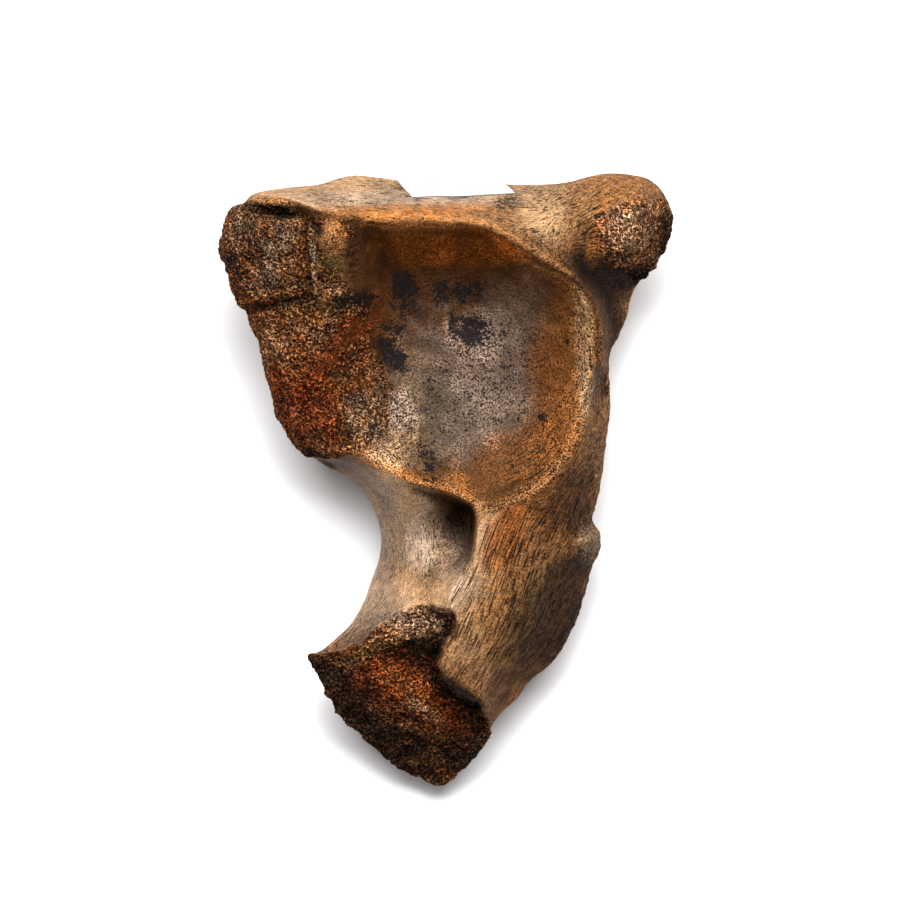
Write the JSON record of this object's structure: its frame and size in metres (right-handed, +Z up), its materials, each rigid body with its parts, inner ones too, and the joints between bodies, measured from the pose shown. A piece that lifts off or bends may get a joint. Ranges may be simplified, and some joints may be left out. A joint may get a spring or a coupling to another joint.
{
  "type": "fossil mammoth neck vertebra",
  "caption": "Broken half of a first neck vertebra with a deep joint cup, a knobbed wing, a smooth canal wall and rough broken ends, lying on its worn rear face.",
  "frame": {"origin": "bottom centre of the bounding box, on the surface that the bone lies on", "axes": "+Z up out of the joint cup, +Y along the bone towards the wing, +X towards the knob's side"},
  "size_m": [0.2028, 0.2758, 0.1193],
  "materials": {
    "bone": "dry brown fossil bone, smooth on the joint face, pitted on the outside and spongy where broken",
    "paper": "matt white paper sticker, bare"
  },
  "bodies": {
    "root": {"bone": "bone", "label": "paper"}
  },
  "joints": []
}
